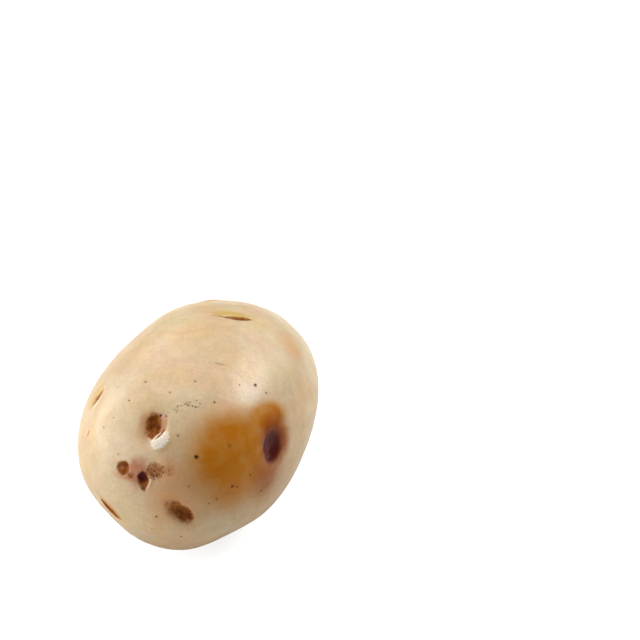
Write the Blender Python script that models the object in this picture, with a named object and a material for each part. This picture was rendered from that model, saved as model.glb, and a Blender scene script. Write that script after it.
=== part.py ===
"""A whole potato lying on its side, grown as one piece.

Metres, +Z up. The origin is on the ground under the middle of the potato. The long axis runs
along Y: the rose end, where the eyes crowd together, is at -Y and the stem end is at +Y.

The body is a round ball stretched to the potato's three sizes. A place on the skin is a
longitude and a latitude on that ball, in degrees: longitude 0 is -Y, 90 is +X and 180 is +Y,
and latitude 90 is straight up.
"""

import math
from typing import NamedTuple

import bmesh
import bpy
from mathutils import Vector

# Driving dimensions, in metres
LENGTH = 0.090
WIDTH = 0.062
HEIGHT = 0.060

# How blunt the body is: 2 is a true ellipsoid, and more is squarer
BLUNTNESS = 2.15

# How deep the underside is pressed flat, and how softly the flat runs out into the belly
REST_DEPTH = 0.0010
REST_SHOULDER = 0.00025

# Faces along each edge of the cube that the skin is blown up from
CELLS = 24

# Skin colour (linear RGB) and shine
SKIN_COLOUR = (0.60, 0.38, 0.17, 1.0)
SKIN_ROUGHNESS = 0.35


class Swell(NamedTuple):
    """A broad rise or hollow of the body: height in metres, spread as an angle in degrees."""

    name: str
    longitude: float
    latitude: float
    spread: float
    height: float


class Eye(NamedTuple):
    """A sunken eye: an oval bowl with half sizes and depth in metres.

    Its long way is turned by so many degrees from level, anticlockwise seen from outside.
    """

    name: str
    longitude: float
    latitude: float
    half_length: float
    half_width: float
    depth: float
    turn: float


# The lumps of the body, from the rose end round to the stem end
SWELLS = (
    Swell("left shoulder", -106, 44, 18, -0.0019),
    Swell("left cheek", -55, 0, 16, 0.0007),
    Swell("lower left flank", -32, -24, 16, -0.0024),
    Swell("chin", -3, -35, 14, -0.0007),
    Swell("hollow beside the chin", 44, -41, 12, -0.0020),
    Swell("lower right corner", 63, -24, 13, -0.0003),
    Swell("right flank", 91, 16, 20, 0.0017),
    Swell("far right bulge", 121, 19, 17, 0.0014),
    Swell("far left shoulder", -167, 48, 20, -0.0020),
    Swell("far top hump", -155, 62, 26, 0.0010),
    Swell("far left waist", -124, 4, 24, -0.0012),
    Swell("left belly", -110, -42, 26, 0.0010),
    Swell("far right waist", 124, -30, 20, -0.0016),
    Swell("hollow under the stem", -172, -62, 16, -0.0010),
    Swell("heel by the stem", 182, -30, 26, 0.0010),
)

# The eyes wide enough to sink the body, crowded at the rose end, and the scar of the stem
EYES = (
    Eye("main eye", 0, 42, 0.0036, 0.0034, 0.0020, 0),
    Eye("slit eye", 3, 20, 0.0042, 0.0030, 0.0012, 0),
    Eye("rose end eye", 19, -1, 0.0046, 0.0034, 0.0014, -46),
    Eye("top eye", 142, 69, 0.0066, 0.0030, 0.0018, -108),
    Eye("faint eye", 49, 64, 0.0048, 0.0022, 0.0005, -27),
    Eye("left eye", -53, 36, 0.0045, 0.0024, 0.0009, 106),
    Eye("lower left eye", -29, -20, 0.0050, 0.0026, 0.0009, -60),
    Eye("right eye", 65, 15, 0.0046, 0.0032, 0.0012, 77),
    Eye("far right eye", 128, -14, 0.0048, 0.0028, 0.0012, 80),
    Eye("far left eye", -124, 18, 0.0050, 0.0028, 0.0013, 100),
    Eye("far top eye", -160, 52, 0.0048, 0.0028, 0.0010, 12),
    Eye("left belly eye", -84, -36, 0.0046, 0.0028, 0.0010, 84),
    Eye("stem scar", 180, 4, 0.0062, 0.0056, 0.0018, 0),
)


def clear_scene() -> None:
    """Removes whatever the file opened with."""
    for thing in list(bpy.data.objects):
        bpy.data.objects.remove(thing)


def direction(longitude: float, latitude: float) -> Vector:
    """Gives the unit direction of a place on the skin."""
    around, rise = math.radians(longitude), math.radians(latitude)
    level = math.cos(rise)
    return Vector((math.sin(around) * level, -math.cos(around) * level, math.sin(rise)))


def even_sphere() -> bmesh.types.BMesh:
    """Blows a gridded cube up into a unit sphere of nearly equal four-sided faces."""
    ball = bmesh.new()
    bmesh.ops.create_cube(ball, size=2.0)
    bmesh.ops.subdivide_edges(ball, edges=ball.edges[:], cuts=CELLS - 1, use_grid_fill=True)
    for vertex in ball.verts:
        spread = (math.tan(value * math.pi / 4) for value in vertex.co)
        vertex.co = Vector(spread).normalized()
    return ball


def body_point(outward: Vector) -> Vector:
    """Gives the body's surface in a unit direction: a blunt ellipsoid with swells and hollows."""
    blunt = sum(abs(value) ** BLUNTNESS for value in outward) ** (-1 / BLUNTNESS)
    stretched = blunt * Vector((outward.x * WIDTH, outward.y * LENGTH, outward.z * HEIGHT)) / 2
    away = stretched.normalized()
    for swell in SWELLS:
        angle = math.degrees(outward.angle(direction(swell.longitude, swell.latitude), 0.0))
        stretched += away * swell.height * math.exp(-0.5 * (angle / swell.spread) ** 2)
    return stretched


def fit_to_size(ball: bmesh.types.BMesh) -> None:
    """Stretches the body to its driving dimensions, with its middle on the Z axis."""
    wanted = Vector((WIDTH, LENGTH, HEIGHT + REST_DEPTH))
    low = Vector([min(vertex.co[axis] for vertex in ball.verts) for axis in range(3)])
    high = Vector([max(vertex.co[axis] for vertex in ball.verts) for axis in range(3)])
    middle = (low + high) / 2
    for vertex in ball.verts:
        for axis in range(3):
            ratio = wanted[axis] / (high[axis] - low[axis])
            vertex.co[axis] = (vertex.co[axis] - middle[axis]) * ratio
        vertex.co.z += (HEIGHT - REST_DEPTH) / 2


def sink_eye(ball: bmesh.types.BMesh, eye: Eye) -> None:
    """Presses one eye's bowl into the skin, straight in at its middle."""
    centre = body_point(direction(eye.longitude, eye.latitude))
    outward = Vector((centre.x / WIDTH**2, centre.y / LENGTH**2, centre.z / HEIGHT**2)).normalized()
    level = Vector((0, 0, 1)).cross(outward).normalized()
    turn = math.radians(eye.turn)
    along = level * math.cos(turn) + outward.cross(level) * math.sin(turn)
    across = outward.cross(along)
    for vertex in ball.verts:
        offset = vertex.co - centre
        if offset.length > 2 * eye.half_length:
            continue
        reach = (offset @ along / eye.half_length) ** 2 + (offset @ across / eye.half_width) ** 2
        if reach < 1:
            vertex.co -= outward * eye.depth * (1 - reach) ** 2


def press_flat(ball: bmesh.types.BMesh) -> None:
    """Flattens the underside at ground level, with a soft shoulder round the flat."""
    for vertex in ball.verts:
        height = vertex.co.z
        if height < -REST_SHOULDER:
            vertex.co.z = 0.0
        elif height < REST_SHOULDER:
            vertex.co.z = (height + REST_SHOULDER) ** 2 / (4 * REST_SHOULDER)


def skin_material() -> bpy.types.Material:
    """Makes the pale, waxy brown skin."""
    skin = bpy.data.materials.new("potato_skin")
    skin.use_nodes = True
    shader = skin.node_tree.nodes["Principled BSDF"]
    shader.inputs["Base Color"].default_value = SKIN_COLOUR
    shader.inputs["Roughness"].default_value = SKIN_ROUGHNESS
    shader.inputs["Metallic"].default_value = 0.0
    return skin


def build_potato() -> bpy.types.Object:
    """Builds the whole potato as one closed skin."""
    ball = even_sphere()
    for vertex in ball.verts:
        vertex.co = body_point(vertex.co)
    for eye in EYES:
        sink_eye(ball, eye)
    fit_to_size(ball)
    press_flat(ball)
    mesh = bpy.data.meshes.new("potato")
    ball.to_mesh(mesh)
    ball.free()
    mesh.materials.append(skin_material())
    mesh.shade_smooth()
    potato = bpy.data.objects.new("potato", mesh)
    bpy.context.collection.objects.link(potato)
    return potato


def main() -> None:
    """Clears the scene and builds the potato in it."""
    clear_scene()
    build_potato()


main()
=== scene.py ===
"""A whole potato lying on its side: its fine skin, its finish, a plain studio and the camera.

Metres, +Z up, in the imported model's frame. The rose end, where the eyes crowd together, is at -Y
and the stem end is at +Y. A mark on the side that the photograph shows is placed by its pixels in
the 640 by 640 photograph. A mark on a hidden side is placed by longitude and latitude on the
body: longitude 0 is -Y, 90 is +X and 180 is +Y, and latitude 90 is straight up.
"""

import logging
import math
import random
from dataclasses import dataclass
from enum import Enum

import bmesh
import bpy
import numpy as np
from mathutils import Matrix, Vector, noise
from mathutils.bvhtree import BVHTree


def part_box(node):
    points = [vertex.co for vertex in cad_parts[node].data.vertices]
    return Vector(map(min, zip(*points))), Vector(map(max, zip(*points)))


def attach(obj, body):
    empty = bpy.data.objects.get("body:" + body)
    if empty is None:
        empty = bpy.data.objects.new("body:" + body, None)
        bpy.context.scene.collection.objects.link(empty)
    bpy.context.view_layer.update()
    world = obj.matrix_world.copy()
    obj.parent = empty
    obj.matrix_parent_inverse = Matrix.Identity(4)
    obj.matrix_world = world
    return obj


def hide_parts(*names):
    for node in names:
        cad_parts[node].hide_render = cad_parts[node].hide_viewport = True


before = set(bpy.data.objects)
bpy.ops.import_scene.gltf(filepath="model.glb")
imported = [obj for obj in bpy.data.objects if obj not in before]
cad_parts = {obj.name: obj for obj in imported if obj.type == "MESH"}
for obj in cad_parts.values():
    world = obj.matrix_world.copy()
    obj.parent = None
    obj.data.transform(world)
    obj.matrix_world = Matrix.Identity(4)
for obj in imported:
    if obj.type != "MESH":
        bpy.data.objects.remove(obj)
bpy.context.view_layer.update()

LOG = logging.getLogger("potato")

Pixel = tuple[float, float]
Colour = tuple[float, float, float]


def smooth_step(value: np.ndarray, start: float, end: float) -> np.ndarray:
    """Eases from 0 at start to 1 at end, where start may be the larger one."""
    share = np.clip((value - start) / (end - start), 0.0, 1.0)
    return share * share * (3.0 - 2.0 * share)


def unit(vector: np.ndarray) -> np.ndarray:
    """Gives a vector, or each row of vectors, the length 1."""
    return vector / np.linalg.norm(vector, axis=-1, keepdims=True)


class Stain(Enum):
    """What a mark paints into the skin, by the name of the mesh attribute that holds it. Most are the skin's own
    stains; the pale highlight layer paints highlights, and the honey, amber, russet and rose layers also paint shade
    in places.
    """

    PIT = "stain_pit"
    DEEP = "stain_deep"
    FLUSH = "stain_flush"
    WINE = "stain_wine"
    GOLD = "stain_gold"
    CRUST = "stain_crust"
    WAX = "stain_wax"
    AMBER = "stain_amber"
    RUSSET = "stain_russet"
    HONEY = "stain_honey"
    ROSE = "stain_rose"
    PEBBLE = "stain_pebble"


class Outline(Enum):
    """The outline of an eye's bowl."""

    OVAL = "oval"
    LENS = "lens"


@dataclass(frozen=True)
class PhotoCamera:
    """The photograph's viewpoint, in degrees, metres and pixels."""

    azimuth: float = 16.0
    elevation: float = 30.0
    distance: float = 0.50
    lens_mm: float = 100.0
    sensor_mm: float = 36.0
    image_size: int = 640
    middle_pixel: Pixel = (202.5, 418.6)

    def axes(self) -> tuple[Vector, Vector, Vector]:
        """Gives the camera's own directions.

        Returns:
            The directions to its right, up its picture and back towards it, each of length 1.
        """
        around, rise = math.radians(self.azimuth), math.radians(self.elevation)
        level = math.cos(rise)
        back = Vector((math.sin(around) * level, -math.cos(around) * level, math.sin(rise)))
        right = Vector((math.cos(around), math.sin(around), 0.0))
        return right, back.cross(right), back

    def focal_pixels(self) -> float:
        """Gives the focal length in pixels."""
        return self.image_size * self.lens_mm / self.sensor_mm

    def position(self, middle: Vector) -> Vector:
        """Gives the camera's place, from which the body's middle lands on its pixel.

        Args:
            middle: The middle of the body's box.

        Returns:
            The camera's place.
        """
        right, up, back = self.axes()
        step = self.distance / self.focal_pixels()
        aside = (self.middle_pixel[0] - self.image_size / 2) * step
        above = (self.middle_pixel[1] - self.image_size / 2) * step
        return middle - right * aside + up * above + back * self.distance

    def ray(self, pixel: Pixel) -> Vector:
        """Gives the direction in which the camera sees a pixel.

        Args:
            pixel: The pixel, across and down from the picture's top left corner.

        Returns:
            The direction, of length 1.
        """
        right, up, back = self.axes()
        focal = self.focal_pixels()
        aside = (pixel[0] - self.image_size / 2) / focal
        below = (pixel[1] - self.image_size / 2) / focal
        return (right * aside - up * below - back).normalized()

    def add(self, middle: Vector) -> bpy.types.Object:
        """Makes the camera and gives it to the scene.

        Args:
            middle: The middle of the body's box.

        Returns:
            The camera.
        """
        data = bpy.data.cameras.new("photo_camera")
        data.lens = self.lens_mm
        data.sensor_width = self.sensor_mm
        data.clip_start = 0.01
        data.clip_end = 20.0
        camera = bpy.data.objects.new("photo_camera", data)
        camera.location = self.position(middle)
        camera.rotation_mode = "QUATERNION"
        camera.rotation_quaternion = (-self.axes()[2]).to_track_quat("-Z", "Y")
        bpy.context.scene.collection.objects.link(camera)
        bpy.context.scene.camera = camera
        return camera


@dataclass(frozen=True)
class Patch:
    """A place on the skin with its own axes, and its half sizes in metres."""

    centre: np.ndarray
    outward: np.ndarray
    along: np.ndarray
    across: np.ndarray
    half_length: float
    half_width: float

    def measure(self, points: np.ndarray) -> tuple[np.ndarray, np.ndarray]:
        """Gives each point's place in the patch's own units, where 1 is the patch's edge.

        Args:
            points: Points of the skin, one a row.

        Returns:
            How far along and how far across each point lies. On the body's far side both are
            far past every patch.
        """
        offset = points - self.centre
        away = np.abs(offset @ self.outward) > 3.0 * max(self.half_length, self.half_width)
        u = np.where(away, 99.0, offset @ self.along / self.half_length)
        v = np.where(away, 99.0, offset @ self.across / self.half_width)
        return u, v


@dataclass(frozen=True)
class Seen:
    """A place on the photographed side: the pixels of its two ends, and its half width."""

    first: Pixel
    second: Pixel
    half_width: float


@dataclass(frozen=True)
class Hidden:
    """A place on a hidden side.

    Its long way is turned by so many degrees from level, anticlockwise seen from outside.
    """

    longitude: float
    latitude: float
    half_length: float
    half_width: float
    turn: float


class SkinMap:
    """Finds places on the body, by pixels or by longitude and latitude."""

    def __init__(self, camera: PhotoCamera, mesh: bpy.types.Mesh, low: Vector, high: Vector) -> None:
        """Takes up the body's surface.

        Args:
            camera: The photograph's viewpoint.
            mesh: The smooth body.
            low: The lowest corner of the body's box.
            high: The highest corner of the body's box.
        """
        corners = [vertex.co for vertex in mesh.vertices]
        faces = [tuple(face.vertices) for face in mesh.polygons]
        self.tree = BVHTree.FromPolygons(corners, faces)
        self.mesh = mesh
        self.camera = camera
        self.middle = (low + high) / 2
        self.reach = high - low
        self.eye_point = camera.position(self.middle)

    def cast(self, start: Vector, way: Vector) -> tuple[np.ndarray, np.ndarray]:
        """Finds where a ray meets the skin.

        Args:
            start: Where the ray starts.
            way: Its direction.

        Returns:
            The point and the smooth outward direction there.

        Raises:
            ValueError: The ray misses the body.
        """
        point, _, face, _ = self.tree.ray_cast(start, way)
        if point is None:
            raise ValueError("a ray misses the body")
        corners = self.mesh.polygons[face].vertices
        outward = sum((self.mesh.vertices[corner].normal for corner in corners), Vector())
        return np.array(point), np.array(outward.normalized())

    def at_pixel(self, pixel: Pixel) -> tuple[np.ndarray, np.ndarray]:
        """Finds the skin at a pixel: its point and outward direction."""
        return self.cast(self.eye_point, self.camera.ray(pixel))

    def at_angles(self, longitude: float, latitude: float) -> tuple[np.ndarray, np.ndarray]:
        """Finds the skin at a longitude and latitude, in degrees.

        Args:
            longitude: The angle round from -Y towards +X.
            latitude: The angle up from level.

        Returns:
            The point and the outward direction there.
        """
        around, rise = math.radians(longitude), math.radians(latitude)
        level = math.cos(rise)
        way = Vector((math.sin(around) * level, -math.cos(around) * level, math.sin(rise)))
        start = self.middle
        end = self.middle + Vector([way[axis] * self.reach[axis] for axis in range(3)])
        return self.cast(end, (start - end).normalized())

    def patch(self, place: Seen | Hidden) -> Patch:
        """Turns a place into a patch with its own axes.

        Args:
            place: Where the patch is.

        Returns:
            The patch.
        """
        if isinstance(place, Seen):
            middle = tuple((a + b) / 2 for a, b in zip(place.first, place.second))
            centre, outward = self.at_pixel(middle)
            way = self.at_pixel(place.second)[0] - self.at_pixel(place.first)[0]
            half_length = float(np.linalg.norm(way)) / 2
        else:
            centre, outward = self.at_angles(place.longitude, place.latitude)
            level = np.cross((0.0, 0.0, 1.0), outward)
            turn = math.radians(place.turn)
            way = unit(level) * math.cos(turn) + np.cross(outward, unit(level)) * math.sin(turn)
            half_length = place.half_length
        along = unit(way - outward * (way @ outward))
        return Patch(centre, outward, along, np.cross(outward, along), half_length, place.half_width)

    def shown(self, point: np.ndarray, outward: np.ndarray) -> bool:
        """Says whether the photograph shows a point of the skin, its far edge left out."""
        to_camera = unit(np.array(self.eye_point) - point)
        return float(outward @ to_camera) > 0.08


@dataclass
class Relief:
    """The skin's points while it is worked: where they are, which way is out, what is painted."""

    points: np.ndarray
    outward: np.ndarray
    stains: dict[Stain, np.ndarray]

    @classmethod
    def of(cls, mesh: bpy.types.Mesh) -> "Relief":
        """Takes up a mesh's points, with nothing painted yet."""
        points = read_points(mesh)
        outward = np.empty(len(points) * 3)
        mesh.vertex_normals.foreach_get("vector", outward)
        blank = {stain: np.zeros(len(points)) for stain in Stain}
        return cls(points, outward.reshape(-1, 3), blank)

    def lift(self, height: np.ndarray, outward: np.ndarray | None = None) -> None:
        """Moves the points out by a height each, along one direction if it is given."""
        way = self.outward if outward is None else outward
        self.points += way * height[:, None]

    def paint(self, stain: Stain, amount: np.ndarray) -> None:
        """Paints a stain over what is there, without going past full strength."""
        there = self.stains[stain]
        self.stains[stain] = 1.0 - (1.0 - there) * (1.0 - np.clip(amount, 0.0, 1.0))


def read_points(mesh: bpy.types.Mesh) -> np.ndarray:
    """Gives a mesh's points, one a row."""
    flat = np.empty(len(mesh.vertices) * 3)
    mesh.vertices.foreach_get("co", flat)
    return flat.reshape(-1, 3)


def write_points(mesh: bpy.types.Mesh, points: np.ndarray) -> None:
    """Puts a mesh's points where the rows say."""
    mesh.vertices.foreach_set("co", points.ravel())
    mesh.update()


def read_edges(mesh: bpy.types.Mesh) -> np.ndarray:
    """Gives the two points of each of a mesh's edges, one edge a row."""
    flat = np.empty(len(mesh.edges) * 2, dtype=np.int64)
    mesh.edges.foreach_get("vertices", flat)
    return flat.reshape(-1, 2)


def relaxed(values: np.ndarray, edges: np.ndarray, passes: int, share: np.ndarray | float) -> np.ndarray:
    """Evens values out over a mesh, each pass towards the mean of the neighbours.

    Args:
        values: One row for each point.
        edges: The two points of each edge.
        passes: How many times to even out.
        share: How far to go towards the mean, for all points or one row each.

    Returns:
        The evened values.
    """
    count = len(values)
    first, second = edges[:, 0], edges[:, 1]
    degree = np.bincount(edges.ravel(), minlength=count)[:, None]
    for _ in range(passes):
        total = np.empty_like(values)
        for axis in range(values.shape[1]):
            column = values[:, axis]
            total[:, axis] = np.bincount(first, column[second], count)
            total[:, axis] += np.bincount(second, column[first], count)
        values = values + share * (total / degree - values)
    return values


def ripple(points: np.ndarray, wavelength: float, seed: float) -> np.ndarray:
    """Gives smooth random values from -1 to 1 over points, the same each run.

    Args:
        points: Points, one a row, in metres.
        wavelength: The rough distance between neighbouring rises, in metres.
        seed: A shift that picks another pattern.

    Returns:
        One value for each point.
    """
    scaled = points / wavelength + seed
    return np.array([noise.noise(Vector(row)) for row in scaled])


@dataclass
class FineBody:
    """The body at rest as one smooth, fine mesh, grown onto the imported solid."""

    cells: int = 88
    smoothing_passes: int = 45
    rest_trim: float = 0.00003

    def build(self, solid: bpy.types.Object, low: Vector, high: Vector) -> bpy.types.Mesh:
        """Lays an even net of four-sided cells onto the solid and smooths its facets away.

        Args:
            solid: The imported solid.
            low: The lowest corner of its box.
            high: The highest corner of its box.

        Returns:
            The smooth body's mesh.
        """
        ball = bmesh.new()
        bmesh.ops.create_cube(ball, size=2.0)
        bmesh.ops.subdivide_edges(ball, edges=ball.edges[:], cuts=self.cells - 1, use_grid_fill=True)
        middle = (low + high) / 2
        reach = high - low
        corners = [vertex.co for vertex in solid.data.vertices]
        faces = [tuple(face.vertices) for face in solid.data.polygons]
        tree = BVHTree.FromPolygons(corners, faces)
        for vertex in ball.verts:
            spread = Vector([math.tan(value * math.pi / 4) for value in vertex.co]).normalized()
            end = middle + Vector([spread[axis] * reach[axis] for axis in range(3)])
            vertex.co = tree.ray_cast(end, (middle - end).normalized())[0]
        mesh = bpy.data.meshes.new("potato_skin")
        ball.to_mesh(mesh)
        ball.free()
        rough = read_points(mesh)
        edges = read_edges(mesh)
        smooth = relaxed(rough, edges, self.smoothing_passes, 1.0)
        smooth += relaxed(rough - smooth, edges, self.smoothing_passes, 1.0)
        write_points(mesh, self.fitted(smooth, low, high))
        return mesh

    def fitted(self, points: np.ndarray, low: Vector, high: Vector) -> np.ndarray:
        """Brings the smoothed points back to the solid's box and its flat resting spot.

        Args:
            points: The smoothed points.
            low: The lowest corner of the solid's box.
            high: The highest corner of the solid's box.

        Returns:
            The points, flat underneath and as long, wide and high as the solid.
        """
        low_is, high_is = points.min(0), points.max(0)
        ratio = (np.array(high) - np.array(low)) / (high_is - low_is)
        ratio[2] = high.z / high_is[2]
        shift = np.array(((low + high) / 2)) - (low_is + high_is) / 2
        shift[2] = 0.0
        fitted = (points + shift) * ratio
        above = fitted[:, 2] - self.rest_trim
        fitted[:, 2] = np.maximum(above, 0.0) * high.z / (high.z - self.rest_trim)
        return fitted

    def refine(self, mesh: bpy.types.Mesh, patches: list[tuple[Patch, float]], passes: int) -> None:
        """Halves the cells near some patches and rounds the new points off.

        Args:
            mesh: The mesh to work on.
            patches: Each patch, and how far round it to go in metres.
            passes: How often to even the new points out.
        """
        near = self.nearness(read_points(mesh), patches) > 0.0
        work = bmesh.new()
        work.from_mesh(mesh)
        chosen = [e for e in work.edges if near[e.verts[0].index] and near[e.verts[1].index]]
        bmesh.ops.subdivide_edges(work, edges=chosen, cuts=1, use_grid_fill=True)
        work.to_mesh(mesh)
        work.free()
        points = read_points(mesh)
        share = self.nearness(points, patches)[:, None]
        resting = points[:, 2] <= 0.0
        points = relaxed(points, read_edges(mesh), passes, share * 0.7)
        points[resting, 2] = 0.0
        write_points(mesh, points)

    @staticmethod
    def nearness(points: np.ndarray, patches: list[tuple[Patch, float]]) -> np.ndarray:
        """Gives 1 well inside the patches' surroundings, easing to 0 at their edges."""
        near = np.zeros(len(points))
        for patch, reach in patches:
            u, v = patch.measure(points)
            beyond_u = np.abs(u) * patch.half_length / (patch.half_length + reach)
            beyond_v = np.abs(v) * patch.half_width / (patch.half_width + reach)
            near = np.maximum(near, smooth_step(np.hypot(beyond_u, beyond_v), 1.0, 0.8))
        return near


@dataclass(frozen=True)
class Wash:
    """A stain round a mark: how strong, how far out and where its middle is, in patch units."""

    stain: Stain
    strength: float = 1.0
    reach: float = 1.0
    core: float = 0.6
    middle: tuple[float, float] = (0.0, 0.0)
    stretch: tuple[float, float] = (1.0, 1.0)


@dataclass(frozen=True)
class Bud:
    """A small rise in an eye's floor: where in patch units, how wide and how high in metres."""

    middle: tuple[float, float]
    radius: float
    height: float


@dataclass(frozen=True)
class Eye:
    """A sunken eye with a brow along one side, small buds in its floor, and stains.

    The brow's side is an angle from the long way, in degrees, anticlockwise seen from outside.
    """

    name: str
    place: Seen | Hidden
    depth: float
    outline: Outline = Outline.OVAL
    hollow: tuple[float, float] = (0.0, 0.0)
    floor: float = 0.2
    brow: float = 0.0
    brow_side: float = 90.0
    brow_spread: float = 0.28
    raggedness: float = 0.12
    buds: tuple[Bud, ...] = ()
    washes: tuple[Wash, ...] = ()
    fineness: int = 2
    seed: float = 1.7

    def reach_of(self, u: np.ndarray, v: np.ndarray) -> np.ndarray:
        """Gives how far out points lie, where 1 is the outline.

        Args:
            u: How far along they lie.
            v: How far across they lie.

        Returns:
            Their share of the way to the outline.
        """
        if self.outline is Outline.LENS:
            narrowing = np.maximum(1.0 - 0.8 * np.minimum(u * u, 1.0), 0.2)
            return np.hypot(u, v / narrowing)
        return np.hypot(u, v)

    def sunk(self, u: np.ndarray, v: np.ndarray) -> np.ndarray:
        """Gives how far points lie from the eye's deepest place, where 1 is the outline.

        Args:
            u: How far along they lie.
            v: How far across they lie.

        Returns:
            Their share of the way from the deepest place to the outline.
        """
        if self.hollow == (0.0, 0.0):
            return self.reach_of(u, v)
        du, dv = u - self.hollow[0], v - self.hollow[1]
        distance = np.maximum(np.hypot(du, dv), 1e-6)
        toward = (self.hollow[0] * du + self.hollow[1] * dv) / distance
        room = 1.0 - self.hollow[0] ** 2 - self.hollow[1] ** 2
        return distance / (np.sqrt(toward * toward + room) - toward)

    def carve(self, relief: Relief, patch: Patch) -> None:
        """Sinks the eye into the skin, raises its brow and buds, and paints its stains.

        Args:
            relief: The skin being worked.
            patch: Where the eye is.
        """
        u, v = patch.measure(relief.points)
        near = np.hypot(u, v) < 4.0
        ragged = np.zeros(len(u))
        grain = ripple(relief.points[near], 0.0016, self.seed) + 0.6 * ripple(relief.points[near], 0.0007, self.seed)
        ragged[near] = grain * self.raggedness
        reach = self.reach_of(u, v) * (1.0 + ragged)
        height = -self.depth * smooth_step(self.sunk(u, v) * (1.0 + ragged), 1.0, self.floor)
        side = math.radians(self.brow_side)
        turned = np.arctan2(v, u) - side
        facing = np.maximum(np.cos(turned), 0.0) ** 2
        height += self.brow * facing * np.exp(-(((reach - 1.1) / self.brow_spread) ** 2))
        for bud in self.buds:
            du = (u - bud.middle[0]) * patch.half_length
            dv = (v - bud.middle[1]) * patch.half_width
            height += bud.height * np.exp(-((np.hypot(du, dv) / bud.radius) ** 2))
        height += ragged * self.depth * 0.5 * smooth_step(reach, 1.1, 0.5)
        for wash in self.washes:
            wu = (u - wash.middle[0]) / wash.stretch[0]
            wv = (v - wash.middle[1]) / wash.stretch[1]
            spread = self.reach_of(wu, wv) * (1.0 + ragged)
            relief.paint(wash.stain, wash.strength * smooth_step(spread, wash.reach, wash.reach * wash.core))
        relief.lift(height, patch.outward)


@dataclass(frozen=True)
class Mound:
    """A soft rise or, with a negative height, a soft dent, with painted washes of its own."""

    name: str
    place: Seen | Hidden
    height: float
    washes: tuple[Wash, ...] = ()
    fineness: int = 1

    def carve(self, relief: Relief, patch: Patch) -> None:
        """Raises the mound and paints its stains.

        Args:
            relief: The skin being worked.
            patch: Where the mound is.
        """
        u, v = patch.measure(relief.points)
        relief.lift(self.height * np.exp(-1.6 * (u * u + v * v)), patch.outward)
        for wash in self.washes:
            wu = (u - wash.middle[0]) / wash.stretch[0]
            wv = (v - wash.middle[1]) / wash.stretch[1]
            spread = np.hypot(wu, wv)
            relief.paint(wash.stain, wash.strength * smooth_step(spread, wash.reach, wash.reach * wash.core))


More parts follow.
